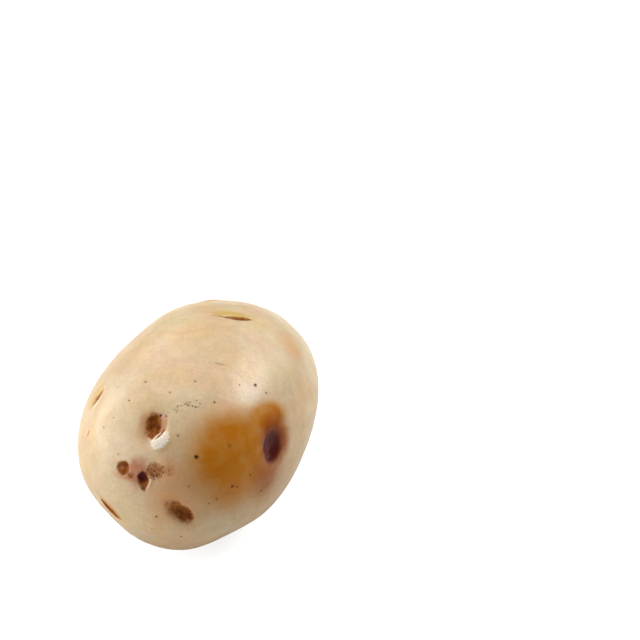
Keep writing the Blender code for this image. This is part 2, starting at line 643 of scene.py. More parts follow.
# The eyes that the photograph shows, from the rose end's middle outwards
SEEN_EYES = (
    Eye(
        "main_eye", Seen((152.0, 442.5), (160.0, 410.0), 0.0035), depth=0.0016, hollow=(-0.05, 0.30), floor=0.15,
        brow=0.00015, brow_side=-125, brow_spread=0.35, raggedness=0.10,
        buds=(Bud((-0.2, 0.1), 0.0006, 0.0004), Bud((0.25, 0.35), 0.0006, 0.0003), Bud((0.45, -0.1), 0.0004, 0.0003)),
        # The pit colour lies towards the left wall: partly the eye's own brown, partly painted shade where the rim
        # shades that wall.
        washes=(
            Wash(Stain.RUSSET, 0.45, 1.35, 0.4, (0.0, 0.55), (0.9, 0.8)),
            Wash(Stain.FLUSH, 0.75, 1.05, 0.5, (0.10, -0.25), (0.95, 0.72)),
            Wash(Stain.PIT, 1.0, 1.0, 0.45, (0.0, 0.26), (1.0, 0.76)),
            Wash(Stain.WINE, 0.55, 0.5, 0.2, (0.02, -0.05), (0.6, 0.5)),
        ),
    ),
    Eye(
        "main_eye_crease", Seen((152.5, 442.5), (168.0, 425.5), 0.00045), depth=0.0004, outline=Outline.LENS,
        raggedness=0.2, washes=(Wash(Stain.PIT, 0.9, 1.0, 0.3), Wash(Stain.DEEP, 0.4, 0.8, 0.3)), seed=2.2,
    ),
    Eye(
        "round_pit", Seen((115.0, 468.0), (130.3, 468.0), 0.0024), depth=0.0007, floor=0.4, raggedness=0.10,
        buds=(Bud((-0.05, -0.15), 0.0009, 0.0004),),
        washes=(
            Wash(Stain.PIT, 1.0, 1.05, 0.5),
            Wash(Stain.DEEP, 0.30, 0.8, 0.3, (0.30, 0.45), (0.8, 0.6)),
            Wash(Stain.PIT, 0.60, 0.6, 0.3, (0.9, -0.80), (1.0, 0.8)),
        ),
        seed=4.1,
    ),
    Eye(
        "slit_eye", Seen((144.5, 494.0), (142.0, 467.5), 0.0020), depth=0.0011, outline=Outline.LENS, floor=0.1,
        brow=0.00015, brow_side=-90, raggedness=0.14,
        buds=(Bud((-0.35, 0.0), 0.0006, 0.0004),),
        washes=(
            Wash(Stain.FLUSH, 0.75, 2.3, 0.25, (0.60, 1.1), (0.7, 1.8)),
            Wash(Stain.PIT, 1.0, 1.05, 0.35),
            Wash(Stain.WINE, 1.0, 0.95, 0.4, (0.28, 0.1), (0.60, 1.0)),
            Wash(Stain.DEEP, 0.35, 0.8, 0.4, (0.10, -0.1), (0.5, 0.8)),
        ),
        seed=7.3,
    ),
    Eye(
        "net_patch", Seen((144.5, 471.0), (166.0, 472.5), 0.0024), depth=0.0003, floor=0.5, raggedness=0.35,
        washes=(
            Wash(Stain.RUSSET, 0.25, 1.2, 0.4),
            Wash(Stain.CRUST, 1.0, 1.08, 0.4),
        ),
        seed=2.9,
    ),
    Eye(
        "net_patch_tail", Seen((160.0, 470.0), (177.0, 473.0), 0.0018), depth=0.0001, floor=0.6, raggedness=0.3,
        washes=(Wash(Stain.CRUST, 0.45, 1.1, 0.2), Wash(Stain.ROSE, 0.5, 2.4, 0.3)), seed=3.9,
    ),
    Eye(
        "lower_oval", Seen((164.0, 499.0), (195.0, 524.0), 0.0032), depth=0.0011, hollow=(0.30, 0.0), floor=0.1,
        raggedness=0.12, buds=(Bud((0.50, 0.10), 0.0007, 0.0006), Bud((0.15, -0.2), 0.0006, 0.0004)),
        washes=(
            Wash(Stain.RUSSET, 0.35, 1.35, 0.3, (0.1, 0.0)),
            Wash(Stain.PIT, 0.75, 1.0, 0.3, (-0.12, 0.0), (0.95, 0.9)),
            Wash(Stain.PIT, 1.0, 0.95, 0.35, (0.32, 0.0), (0.68, 0.9)),
            Wash(Stain.WINE, 0.45, 0.5, 0.3, (0.52, 0.10), (0.6, 0.8)),
            Wash(Stain.DEEP, 0.30, 0.8, 0.3, (0.30, 0.1), (0.6, 0.9)),
        ),
        seed=5.5,
    ),
    Eye(
        "top_eye", Seen((215.0, 315.6), (257.5, 319.8), 0.0023), depth=0.0012, outline=Outline.LENS, floor=0.1,
        brow=0.00022, brow_side=-90, raggedness=0.05,
        washes=(
            Wash(Stain.GOLD, 0.85, 1.7, 0.3, (-0.20, 0.7), (0.9, 1.2)),
            Wash(Stain.PIT, 1.0, 0.95, 0.5, (0.04, 0.0), (1.0, 0.95)),
            Wash(Stain.DEEP, 0.70, 0.75, 0.3, (0.12, -0.05), (0.75, 0.8)),
            Wash(Stain.PIT, 0.45, 0.6, 0.1, (-0.95, 0.05), (1.2, 0.5)),
        ),
        seed=3.2,
    ),
    # The faint crease is darkened by honey and russet washes: partly tone, partly painted shade in the crease.
    Eye(
        "faint_crease", Seen((211.0, 362.0), (230.0, 366.0), 0.0005), depth=0.00012, outline=Outline.LENS,
        washes=(Wash(Stain.HONEY, 0.8, 1.4, 0.1), Wash(Stain.RUSSET, 0.20, 1.0, 0.1),), seed=9.9,
    ),
    Eye(
        "left_eye", Seen((87.6, 412.5), (107.0, 382.5), 0.0019), depth=0.0009, outline=Outline.LENS, floor=0.1,
        brow=0.0002, brow_side=-90, raggedness=0.08,
        buds=(Bud((0.1, 0.0), 0.0006, 0.0004),),
        washes=(
            Wash(Stain.GOLD, 0.60, 2.0, 0.3, (0.0, 0.9)),
            Wash(Stain.PIT, 0.90, 0.85, 0.3),
            Wash(Stain.DEEP, 0.85, 0.45, 0.4, (0.12, 0.0), (0.4, 1.0)),
        ),
        seed=6.4,
    ),
    Eye(
        "rim_eye", Seen((97.5, 496.5), (122.0, 522.6), 0.0020), depth=0.0009, outline=Outline.LENS, floor=0.1,
        brow=0.00018, brow_side=90, raggedness=0.08,
        washes=(
            Wash(Stain.AMBER, 0.5, 1.7, 0.4, (0.0, 0.4)),
            Wash(Stain.PIT, 1.0, 1.0, 0.6, (0.0, -0.1)),
            Wash(Stain.DEEP, 0.6, 0.6, 0.4, (0.1, -0.1)),
        ),
        seed=8.8,
    ),
    Eye(
        "flank_eye", Seen((271.0, 466.0), (272.5, 427.0), 0.0046), depth=0.0010, floor=0.1, raggedness=0.08,
        washes=(
            Wash(Stain.RUSSET, 1.0, 1.8, 0.4, (0.35, -0.3)),
            Wash(Stain.WINE, 0.55, 1.35, 0.3, (0.25, -0.15)),
            Wash(Stain.WINE, 1.0, 1.0, 0.45, (-0.08, 0.0)),
        ),
        seed=1.1,
    ),
    Eye(
        "left_scratch", Seen((85.8, 439.5), (90.0, 427.5), 0.0006), depth=0.00015, outline=Outline.LENS,
        washes=(Wash(Stain.PIT, 0.7, 1.0, 0.2),), seed=1.9,
    ),
)

# The eyes round the back, where the solid has them too
HIDDEN_EYES = (
    Eye(
        "far_right_eye", Hidden(128, -14, 0.0046, 0.0024, 80), depth=0.0008, outline=Outline.LENS, floor=0.2,
        brow=0.0004, brow_side=-90, buds=(Bud((-0.1, 0.1), 0.0006, 0.0004), Bud((0.3, -0.1), 0.0005, 0.0003)),
        washes=(Wash(Stain.PIT, 0.9, 0.8, 0.5), Wash(Stain.FLUSH, 0.5, 1.5, 0.3)), seed=11.3,
    ),
    Eye(
        "far_left_eye", Hidden(-124, 18, 0.0048, 0.0024, 100), depth=0.0008, outline=Outline.LENS, floor=0.2,
        brow=0.0004, brow_side=90, buds=(Bud((0.1, 0.0), 0.0007, 0.0005),),
        washes=(Wash(Stain.PIT, 0.85, 0.8, 0.5), Wash(Stain.GOLD, 0.5, 1.8, 0.3)), seed=12.7,
    ),
    Eye(
        "far_top_eye", Hidden(-160, 52, 0.0048, 0.0024, 12), depth=0.0008, outline=Outline.LENS, floor=0.2,
        brow=0.0004, brow_side=90, buds=(Bud((0.0, 0.1), 0.0006, 0.0004),),
        washes=(Wash(Stain.PIT, 0.9, 0.8, 0.5), Wash(Stain.GOLD, 0.6, 1.7, 0.3)), seed=13.9,
    ),
    Eye(
        "belly_eye", Hidden(-84, -36, 0.0046, 0.0024, 84), depth=0.0007, floor=0.2,
        buds=(Bud((0.2, 0.2), 0.0006, 0.0004),),
        washes=(Wash(Stain.PIT, 0.8, 0.9, 0.5), Wash(Stain.ROSE, 0.6, 1.8, 0.3)), seed=15.1,
    ),
    Eye(
        "stem_scar", Hidden(180, 4, 0.0042, 0.0038, 0), depth=0.0008, floor=0.5, brow=0.0003, brow_side=90,
        brow_spread=0.5, raggedness=0.2,
        buds=(Bud((0.0, 0.0), 0.0010, 0.0011), Bud((0.35, -0.2), 0.0007, 0.0004), Bud((-0.3, 0.3), 0.0006, 0.0003)),
        washes=(Wash(Stain.CRUST, 1.0, 1.0, 0.6), Wash(Stain.PIT, 0.7, 0.8, 0.4), Wash(Stain.HONEY, 0.9, 2.2, 0.3)),
        seed=16.6,
    ),
)

# Soft rises and dents of the skin
MOUNDS = (
    Mound(
        "main_eye_lip", Seen((150.5, 450.0), (171.5, 432.5), 0.0026), 0.0003,
        (
            # Painted highlight: a pale, flaky wash where light catches the lip, over pebbly bumps.
            Wash(Stain.WAX, 0.95, 1.15, 0.45, (0.0, 0.15)),
            Wash(Stain.PEBBLE, 1.0, 1.2, 0.5),
        ),
        fineness=2,
    ),
    # The faint dent's honey wash is partly tone and partly painted shade in the dent.
    Mound("faint_dent", Seen((203.0, 362.5), (232.0, 366.0), 0.0015), -0.0002, (Wash(Stain.HONEY, 0.25, 1.0, 0.2),)),
)


@dataclass(frozen=True)
class Tint:
    """A broad soft tint of the skin, as strong as it says out to its core and gone at its edge. Some tints also paint
    shade, and one paints a highlight.
    """

    name: str
    place: Seen | Hidden
    stain: Stain
    strength: float
    core: float = 0.3

    def carve(self, relief: Relief, patch: Patch) -> None:
        """Paints the tint, which fades in depth as it does over the skin.

        Args:
            relief: The skin being worked.
            patch: Where the tint is.
        """
        offset = relief.points - patch.centre
        u = offset @ patch.along / patch.half_length
        v = offset @ patch.across / patch.half_width
        w = offset @ patch.outward / max(patch.half_length, patch.half_width)
        reach = np.sqrt(u * u + v * v + w * w)
        relief.paint(self.stain, self.strength * smooth_step(reach, 1.0, self.core))


# The broad tints, from the wide ones to the small ones. The honey, amber and russet tints on the lower front and
# right flank are partly the skin's own warmer tone and partly painted shade: darker and more orange where the flank
# turns from the light.
TINTS = (
    Tint("belly_honey", Seen((112.0, 508.0), (266.0, 470.0), 0.0240), Stain.HONEY, 1.0, 0.25),
    Tint("middle_honey", Seen((138.0, 422.0), (270.0, 408.0), 0.0120), Stain.HONEY, 0.8, 0.15),
    Tint("side_honey", Hidden(60, -12, 0.0280, 0.0220, 0), Stain.HONEY, 0.9, 0.3),
    Tint("chin_flush", Seen((132.0, 502.0), (215.0, 496.0), 0.0110), Stain.ROSE, 0.6, 0.1),
    # Partly tone, partly painted shade: darker, more orange skin over the right flank, with a crisp upper edge on the
    # shoulder where it falls into shade.
    Tint("flank_amber", Seen((183.0, 466.0), (288.0, 450.0), 0.0180), Stain.AMBER, 1.0, 0.40),
    Tint("shoulder_amber", Seen((246.0, 420.0), (291.0, 410.0), 0.0050), Stain.AMBER, 0.95, 0.45),
    Tint("flank_russet", Seen((246.0, 500.0), (288.0, 456.0), 0.0110), Stain.RUSSET, 0.8, 0.1),
    Tint("pit_side", Seen((118.0, 430.0), (152.0, 426.0), 0.0060), Stain.HONEY, 0.8, 0.1),
    Tint("slit_flush", Seen((126.0, 463.0), (152.0, 463.0), 0.0028), Stain.FLUSH, 0.6, 0.2),
    # Painted shade: a darker, rosier patch where the far shoulder lay in shade against a neighbouring potato.
    Tint("far_shoulder_flush", Seen((277.0, 340.0), (306.0, 352.0), 0.0090), Stain.ROSE, 0.55, 0.1),
    Tint("wax_sheen", Seen((226.0, 404.0), (266.0, 352.0), 0.0060), Stain.PEBBLE, 0.8, 0.3),
    # Painted highlight: a faint pale wash over the broad highlight on the upper middle.
    Tint("wax_sheen_pale", Seen((228.0, 402.0), (262.0, 352.0), 0.0050), Stain.WAX, 0.22, 0.2),
    Tint("far_side_honey", Hidden(140, -20, 0.0240, 0.0170, 0), Stain.HONEY, 0.6, 0.2),
    Tint("stem_honey", Hidden(180, 6, 0.0150, 0.0130, 0), Stain.HONEY, 0.7, 0.2),
    Tint("far_left_rose", Hidden(-120, -18, 0.0200, 0.0130, 15), Stain.ROSE, 0.5, 0.2),
    Tint("under_honey", Hidden(0, -88, 0.0300, 0.0220, 90), Stain.HONEY, 0.8, 0.4),
)


@dataclass(frozen=True)
class Speck:
    """A skin dot: its pixel, its radius in metres and how dark it is."""

    pixel: Pixel
    radius: float = 0.00032
    tone: float = 0.7


SEEN_SPECKS = (
    Speck((145.7, 381.8), 0.00030, 0.75),
    Speck((195.2, 381.4), 0.00034, 0.60),
    Speck((169.6, 392.5), 0.00028, 0.60),
    Speck((129.1, 400.5), 0.00028, 0.85),
    Speck((255.5, 385.4), 0.00052, 0.75),
    Speck((239.5, 384.8), 0.00026, 0.60),
    Speck((266.3, 392.9), 0.00030, 0.70),
    Speck((214.5, 402.3), 0.00034, 0.70),
    Speck((177.9, 435.7), 0.00038, 0.55),
    Speck((196.3, 457.1), 0.00056, 0.95),
    Speck((229.3, 446.0), 0.00060, 0.30),
    Speck((250.2, 475.0), 0.00036, 0.60),
    Speck((232.3, 486.3), 0.00040, 0.95),
    Speck((237.3, 486.8), 0.00026, 0.80),
    Speck((260.9, 490.7), 0.00036, 0.60),
    Speck((216.8, 499.3), 0.00036, 0.45),
    Speck((209.1, 503.6), 0.00030, 0.45),
    Speck((188.6, 486.3), 0.00034, 0.40),
    Speck((156.4, 516.6), 0.00034, 0.60),
    Speck((181.4, 536.6), 0.00030, 0.70),
    Speck((152.0, 528.6), 0.00028, 0.40),
    Speck((118.0, 387.0), 0.00034, 0.35),
    Speck((103.8, 427.3), 0.00030, 0.40),
    Speck((113.6, 417.5), 0.00030, 0.45),
    Speck((118.0, 454.0), 0.00028, 0.45),
    Speck((160.5, 415.0), 0.00034, 1.00),
    Speck((128.7, 532.6), 0.00034, 0.80),
    Speck((139.5, 539.0), 0.00030, 0.70),
)

# The trail of fine grit that runs from the main eye towards the right
GRIT_TRAIL = ((163.0, 415.5), (170.0, 413.5), (177.0, 408.5), (185.0, 405.5), (193.0, 403.5), (200.5, 404.0))
GRIT_PER_STEP = 6
GRIT_SPREAD_PX = 2.2
GRIT_SPACING_PX = 2.6
GRIT_RADIUS = 0.00020

# The seeded skin dots of the hidden sides
HIDDEN_SPECKS = 130
SPECK_SPACING = 0.0042
SPECK_SEED = 41


class Specks:
    """The small dark dots of the skin, each painted through its own flat coordinates."""

    PLACE = "speck_place"
    TONE = "speck_tone"
    REACH = 0.0013
    FAR = 9.0

    def __init__(self, skin_map: SkinMap) -> None:
        """Places the dots that the photograph shows, the grit and the dots round the back.

        Args:
            skin_map: Finds places on the body.
        """
        self.spots: list[tuple[Patch, float]] = []
        chance = random.Random(SPECK_SEED)
        for speck in SEEN_SPECKS:
            self.spots.append((self.spot(*skin_map.at_pixel(speck.pixel), speck.radius), speck.tone))
        for pixel in self.grit(chance):
            radius = GRIT_RADIUS * chance.uniform(0.7, 1.4)
            self.spots.append((self.spot(*skin_map.at_pixel(pixel), radius), chance.uniform(0.35, 0.8)))
        placed: list[np.ndarray] = []
        while len(placed) < HIDDEN_SPECKS:
            longitude = chance.uniform(-180.0, 180.0)
            latitude = math.degrees(math.asin(chance.uniform(-1.0, 1.0)))
            point, outward = skin_map.at_angles(longitude, latitude)
            radius = chance.uniform(0.00022, 0.00045)
            tone = chance.uniform(0.35, 0.85)
            if skin_map.shown(point, outward) or point[2] < 0.0004:
                continue
            if any(np.linalg.norm(point - other) < SPECK_SPACING for other in placed):
                continue
            placed.append(point)
            self.spots.append((self.spot(point, outward, radius), tone))

    @staticmethod
    def grit(chance: random.Random) -> list[Pixel]:
        """Scatters the grains of the trail, none too near another.

        Args:
            chance: The seeded source of random numbers.

        Returns:
            The grains' pixels.
        """
        grains: list[Pixel] = []
        for start, end in zip(GRIT_TRAIL, GRIT_TRAIL[1:]):
            for _ in range(GRIT_PER_STEP):
                share = chance.random()
                x = start[0] + (end[0] - start[0]) * share + chance.gauss(0.0, GRIT_SPREAD_PX / 2)
                y = start[1] + (end[1] - start[1]) * share + chance.gauss(0.0, GRIT_SPREAD_PX)
                if all(math.dist((x, y), other) > GRIT_SPACING_PX for other in grains):
                    grains.append((x, y))
        return grains

    @staticmethod
    def spot(point: np.ndarray, outward: np.ndarray, radius: float) -> Patch:
        """Makes a dot's round patch."""
        side = (0.0, 0.0, 1.0) if abs(outward[2]) < 0.8 else (0.0, 1.0, 0.0)
        along = unit(np.cross(side, outward))
        return Patch(point, outward, along, np.cross(outward, along), radius, radius)

    def store(self, mesh: bpy.types.Mesh, points: np.ndarray) -> None:
        """Stores each point's place in its nearest dot, and that dot's tone, on the mesh.

        Args:
            mesh: The mesh that takes the attributes.
            points: Its points before the dots are raised.
        """
        nearest = np.full(len(points), self.REACH)
        place = np.full((len(points), 3), self.FAR)
        tones = np.zeros(len(points))
        for patch, tone in self.spots:
            offset = points - patch.centre
            distance = np.linalg.norm(offset, axis=1)
            inside = distance < nearest
            nearest[inside] = distance[inside]
            close = offset[inside]
            place[inside, 0] = close @ patch.along / patch.half_length
            place[inside, 1] = close @ patch.across / patch.half_length
            beyond = distance[inside] / patch.half_length
            place[inside, 2] = np.maximum(beyond - 2.2, 0.0) * 0.6
            tones[inside] = tone
        mesh.attributes.new(self.PLACE, "FLOAT_VECTOR", "POINT").data.foreach_set("vector", place.ravel())
        mesh.attributes.new(self.TONE, "FLOAT", "POINT").data.foreach_set("value", tones)

    def carve(self, relief: Relief) -> None:
        """Raises a low collar round each dot and sinks its middle a little.

        Args:
            relief: The skin being worked.
        """
        height = np.zeros(len(relief.points))
        for patch, tone in self.spots:
            distance = np.linalg.norm(relief.points - patch.centre, axis=1) / patch.half_length
            size = patch.half_length * tone
            collar = np.exp(-(((distance - 1.3) / 0.55) ** 2))
            hollow = np.exp(-((distance / 0.8) ** 2))
            height += size * (0.12 * collar - 0.22 * hollow)
        relief.lift(height)


class Bench:
    """A material's node tree, with short ways to place and join its nodes."""

    def __init__(self, name: str) -> None:
        """Starts a material with one principled shader.

        Args:
            name: The material's name.
        """
        self.material = bpy.data.materials.new(name)
        self.material.use_nodes = True
        self.tree = self.material.node_tree
        self.shader = self.tree.nodes["Principled BSDF"]
        self.object_place = self.tree.nodes.new("ShaderNodeTexCoord").outputs["Object"]

    def feed(self, socket: bpy.types.NodeSocket, value: object) -> None:
        """Joins another node's output to a socket, or sets the socket to a plain value."""
        if isinstance(value, bpy.types.NodeSocket):
            self.tree.links.new(value, socket)
        elif isinstance(value, tuple) and len(value) == 3 and socket.type == "RGBA":
            socket.default_value = (*value, 1.0)
        else:
            socket.default_value = value

    def math(self, operation: str, first: object, second: object = 0.0, clamp: bool = False) -> bpy.types.NodeSocket:
        """Works one sum on one or two values."""
        node = self.tree.nodes.new("ShaderNodeMath")
        node.operation = operation
        node.use_clamp = clamp
        self.feed(node.inputs[0], first)
        self.feed(node.inputs[1], second)
        return node.outputs[0]

    def ease(self, value: object, start: float, end: float, low: float = 0.0, high: float = 1.0) -> bpy.types.NodeSocket:
        """Eases from low where the value is at start to high where it is at end."""
        node = self.tree.nodes.new("ShaderNodeMapRange")
        node.interpolation_type = "SMOOTHSTEP"
        for name, setting in (("Value", value), ("From Min", start), ("From Max", end), ("To Min", low), ("To Max", high)):
            self.feed(node.inputs[name], setting)
        return node.outputs[0]

    def blend(self, share: object, under: object, over: object, kind: str = "MIX") -> bpy.types.NodeSocket:
        """Lays one colour over another by a share."""
        node = self.tree.nodes.new("ShaderNodeMix")
        node.data_type = "RGBA"
        node.blend_type = kind
        node.clamp_factor = True
        self.feed(node.inputs[0], share)
        self.feed(node.inputs[6], under)
        self.feed(node.inputs[7], over)
        return node.outputs[2]

    def noise(self, size: float, detail: float = 2.0, roughness: float = 0.5, warp: float = 0.0, shift: float = 0.0) -> bpy.types.NodeSocket:
        """Makes soft random values whose features are about size metres across."""
        node = self.tree.nodes.new("ShaderNodeTexNoise")
        node.inputs["Scale"].default_value = 1.0 / size
        node.inputs["Detail"].default_value = detail
        node.inputs["Roughness"].default_value = roughness
        node.inputs["Distortion"].default_value = warp
        self.tree.links.new(self.shifted(shift), node.inputs["Vector"])
        return node.outputs[0]

    def shifted(self, shift: float) -> bpy.types.NodeSocket:
        """Gives the place in the object, moved by a shift so that patterns differ."""
        if shift == 0.0:
            return self.object_place
        node = self.tree.nodes.new("ShaderNodeVectorMath")
        node.operation = "ADD"
        node.inputs[1].default_value = (shift, shift, shift)
        self.tree.links.new(self.object_place, node.inputs[0])
        return node.outputs[0]

    def cells(self, size: float, feature: str = "F1", shift: float = 0.0) -> bpy.types.Node:
        """Makes a pattern of random cells about size metres across."""
        node = self.tree.nodes.new("ShaderNodeTexVoronoi")
        node.feature = feature
        node.inputs["Scale"].default_value = 1.0 / size
        self.tree.links.new(self.shifted(shift), node.inputs["Vector"])
        return node

    def stored(self, name: str, output: str = "Fac") -> bpy.types.NodeSocket:
        """Reads a value stored on the mesh."""
        node = self.tree.nodes.new("ShaderNodeAttribute")
        node.attribute_name = name
        return node.outputs[output]

    def bump(self, height: object, distance: float, strength: float, normal: object = None) -> bpy.types.NodeSocket:
        """Makes a bump of a real height in metres."""
        node = self.tree.nodes.new("ShaderNodeBump")
        node.inputs["Strength"].default_value = strength
        node.inputs["Distance"].default_value = distance
        self.feed(node.inputs["Height"], height)
        if normal is not None:
            self.feed(node.inputs["Normal"], normal)
        return node.outputs[0]


@dataclass(frozen=True)
class SkinFinish:
    """The thin waxy skin: its colours as linear RGB and its shine. Honey, amber, russet and rose also paint shade in
    places, and the pale highlight colour paints highlights.
    """

    cream: Colour = (0.69, 0.56, 0.39)
    straw: Colour = (0.68, 0.50, 0.30)
    # Honey, amber and russet are the skin's warmer tones, and they also paint shade on the lower front and right
    # flank.
    honey: Colour = (0.66, 0.385, 0.150)
    rosy: Colour = (0.69, 0.37, 0.17)
    pink: Colour = (0.68, 0.50, 0.36)
    greenish: Colour = (0.62, 0.53, 0.30)
    amber: Colour = (0.57, 0.240, 0.012)
    russet: Colour = (0.40, 0.120, 0.011)
    gold: Colour = (0.62, 0.44, 0.14)
    flush: Colour = (0.50, 0.22, 0.12)
    wine: Colour = (0.15, 0.026, 0.020)
    pit_light: Colour = (0.42, 0.165, 0.020)
    pit_dark: Colour = (0.26, 0.082, 0.008)
    deep: Colour = (0.080, 0.018, 0.004)
    crust: Colour = (0.24, 0.075, 0.020)
    # A pale colour that paints highlights on the main eye's lip and over the upper middle.
    highlight_paint: Colour = (0.84, 0.76, 0.66)
    speck: Colour = (0.090, 0.040, 0.014)
    roughness: float = 0.38
    pit_roughness: float = 0.75

    def make(self) -> bpy.types.Material:
        """Makes the skin's material.

        Returns:
            The material.
        """
        bench = Bench("potato_skin")
        stains = {stain: bench.stored(stain.value) for stain in Stain}
        colour = self.ground(bench)
        colour = self.tints(bench, colour, stains)
        colour = self.eyes(bench, colour, stains)
        dot, ring = self.dots(bench)
        colour = bench.blend(bench.math("MULTIPLY", ring, 0.22), colour, self.honey, "MULTIPLY")
        colour = bench.blend(dot, colour, self.speck)
        shader = bench.shader
        bench.feed(shader.inputs["Base Color"], colour)
        bench.feed(shader.inputs["Roughness"], self.shine(bench, stains, dot))
        bench.feed(shader.inputs["Normal"], self.relief(bench, stains))
        shader.inputs["Subsurface Weight"].default_value = 0.35
        shader.inputs["Subsurface Radius"].default_value = (1.0, 0.45, 0.18)
        shader.inputs["Subsurface Scale"].default_value = 0.0018
        shader.inputs["IOR"].default_value = 1.45
        shader.inputs["Coat Weight"].default_value = 0.18
        shader.inputs["Coat Roughness"].default_value = 0.22
        return bench.material

    def ground(self, bench: Bench) -> bpy.types.NodeSocket:
        """Mixes the skin's own colours in broad clouds and fine grain.

        Args:
            bench: The material being made.

        Returns:
            The colour.
        """
        clouds = bench.ease(bench.noise(0.016, 2.0, 0.5, 0.4), 0.35, 0.70)
        colour = bench.blend(clouds, self.cream, self.straw)
        rose = bench.ease(bench.noise(0.011, 2.0, 0.5, 0.3, 0.31), 0.45, 0.72)
        colour = bench.blend(bench.math("MULTIPLY", rose, 0.50), colour, self.pink)
        green = bench.ease(bench.noise(0.013, 2.0, 0.5, 0.3, 0.77), 0.50, 0.75)
        colour = bench.blend(bench.math("MULTIPLY", green, 0.40), colour, self.greenish)
        fleck = bench.ease(bench.noise(0.0009, 3.0, 0.6, 0.0, 0.13), 0.35, 0.70, 0.955, 1.03)
        fine = bench.ease(bench.noise(0.0032, 2.0, 0.5, 0.2, 0.53), 0.35, 0.70, 0.965, 1.03)
        return bench.blend(1.0, colour, self.grey(bench, bench.math("MULTIPLY", fleck, fine)), "MULTIPLY")

    @staticmethod
    def grey(bench: Bench, value: bpy.types.NodeSocket) -> bpy.types.NodeSocket:
        """Turns a value into a grey of that brightness."""
        node = bench.tree.nodes.new("ShaderNodeCombineColor")
        for channel in node.inputs:
            bench.tree.links.new(value, channel)
        return node.outputs[0]

    def tints(self, bench: Bench, colour: bpy.types.NodeSocket, stains: dict[Stain, bpy.types.NodeSocket]) -> bpy.types.NodeSocket:
        """Lays the soft painted tints over the ground, painted shade among them, and the pale painted highlights.

        Args:
            bench: The material being made.
            colour: The colour so far.
            stains: The painted strengths.

        Returns:
            The colour.
        """
        broken = bench.ease(bench.noise(0.0045, 3.0, 0.55, 0.5, 0.9), 0.25, 0.75, 0.82, 1.08)
        # Honey, amber and russet are partly painted shade on the lower front and right flank, and rose is painted
        # shade on the far shoulder.
        for stain, tint in (
            (Stain.HONEY, self.honey), (Stain.ROSE, self.rosy), (Stain.AMBER, self.amber),
            (Stain.RUSSET, self.russet), (Stain.GOLD, self.gold), (Stain.FLUSH, self.flush),
        ):
            share = bench.math("MULTIPLY", stains[stain], broken, clamp=True)
            colour = bench.blend(share, colour, tint)
        # Painted highlights: pale flakes wherever the highlight layer lies.
        grain = bench.noise(0.0008, 3.0, 0.6, 0.0, 0.83)
        highlight_flakes = bench.math("ADD", stains[Stain.WAX], bench.math("MULTIPLY", bench.math("SUBTRACT", grain, 0.5), 1.6))
        highlight_flakes = bench.math("MULTIPLY", bench.ease(highlight_flakes, 0.25, 0.85), bench.ease(stains[Stain.WAX], 0.0, 0.5))
        colour = bench.blend(highlight_flakes, colour, self.highlight_paint)
        pores = bench.ease(bench.cells(0.0010, "F1", 0.27).outputs["Distance"], 0.30, 0.12)
        pores = bench.math("MULTIPLY", pores, bench.ease(stains[Stain.PEBBLE], 0.2, 1.0, 0.0, 0.30))
        return bench.blend(pores, colour, self.pit_light)

    def eyes(self, bench: Bench, colour: bpy.types.NodeSocket, stains: dict[Stain, bpy.types.NodeSocket]) -> bpy.types.NodeSocket:
        """Paints the eyes' corky floors, their dark hearts, the net-like crust and the bruise. On the main eye the
        floor's colour lies towards the left wall, partly the eye's own brown and partly painted shade.

        Args:
            bench: The material being made.
            colour: The colour so far.
            stains: The painted strengths.

        Returns:
            The colour.
        """
        mottle = bench.ease(bench.noise(0.0013, 3.0, 0.55, 0.6, 0.21), 0.25, 0.75)
        cork = bench.blend(mottle, self.pit_light, self.pit_dark)
        wander = bench.math("MULTIPLY", bench.math("SUBTRACT", mottle, 0.5), 0.35)
        edge = bench.math("MULTIPLY", bench.math("ADD", stains[Stain.PIT], wander), bench.ease(stains[Stain.PIT], 0.0, 0.3))
        colour = bench.blend(bench.ease(edge, 0.0, 0.95), colour, cork)
        colour = bench.blend(bench.math("MULTIPLY", stains[Stain.CRUST], 0.45), colour, self.pit_light)
        grains = bench.ease(bench.cells(0.00075, "F1", 0.4).outputs["Distance"], 0.46, 0.22)
        speckle = bench.ease(bench.noise(0.0006, 3.0, 0.6, 0.0, 0.61), 0.42, 0.60)
        grains = bench.math("MULTIPLY", bench.math("ADD", grains, bench.math("MULTIPLY", speckle, 0.5)), stains[Stain.CRUST], clamp=True)
        colour = bench.blend(grains, colour, self.crust)
        colour = bench.blend(bench.ease(stains[Stain.WINE], 0.0, 0.9), colour, self.wine)
        heart = bench.math("MULTIPLY", stains[Stain.DEEP], bench.ease(mottle, 0.1, 0.8, 0.55, 1.0))
        return bench.blend(heart, colour, self.deep)

    @staticmethod
    def dots(bench: Bench) -> tuple[bpy.types.NodeSocket, bpy.types.NodeSocket]:
        """Draws the skin dots from their stored flat coordinates.

        Args:
            bench: The material being made.

        Returns:
            How strongly a dot shows, and how strongly the soft ring round it shows.
        """
        place = bench.stored(Specks.PLACE, "Vector")
        parts = bench.tree.nodes.new("ShaderNodeSeparateXYZ")
        bench.tree.links.new(place, parts.inputs[0])
        squares = bench.math("ADD", bench.math("MULTIPLY", parts.outputs[0], parts.outputs[0]),
                             bench.math("MULTIPLY", parts.outputs[1], parts.outputs[1]))
        reach = bench.math("ADD", bench.math("SQRT", squares), parts.outputs[2])
        wobble = bench.math("MULTIPLY", bench.math("SUBTRACT", bench.noise(0.0004, 2.0, 0.5, 0.0, 0.37), 0.5), 1.3)
        reach = bench.math("ADD", reach, wobble)
        tone = bench.stored(Specks.TONE)
        dot = bench.math("MULTIPLY", bench.ease(reach, 1.15, 0.55), tone)
        ring = bench.math("MULTIPLY", bench.ease(reach, 2.2, 0.9), tone)
        return dot, ring

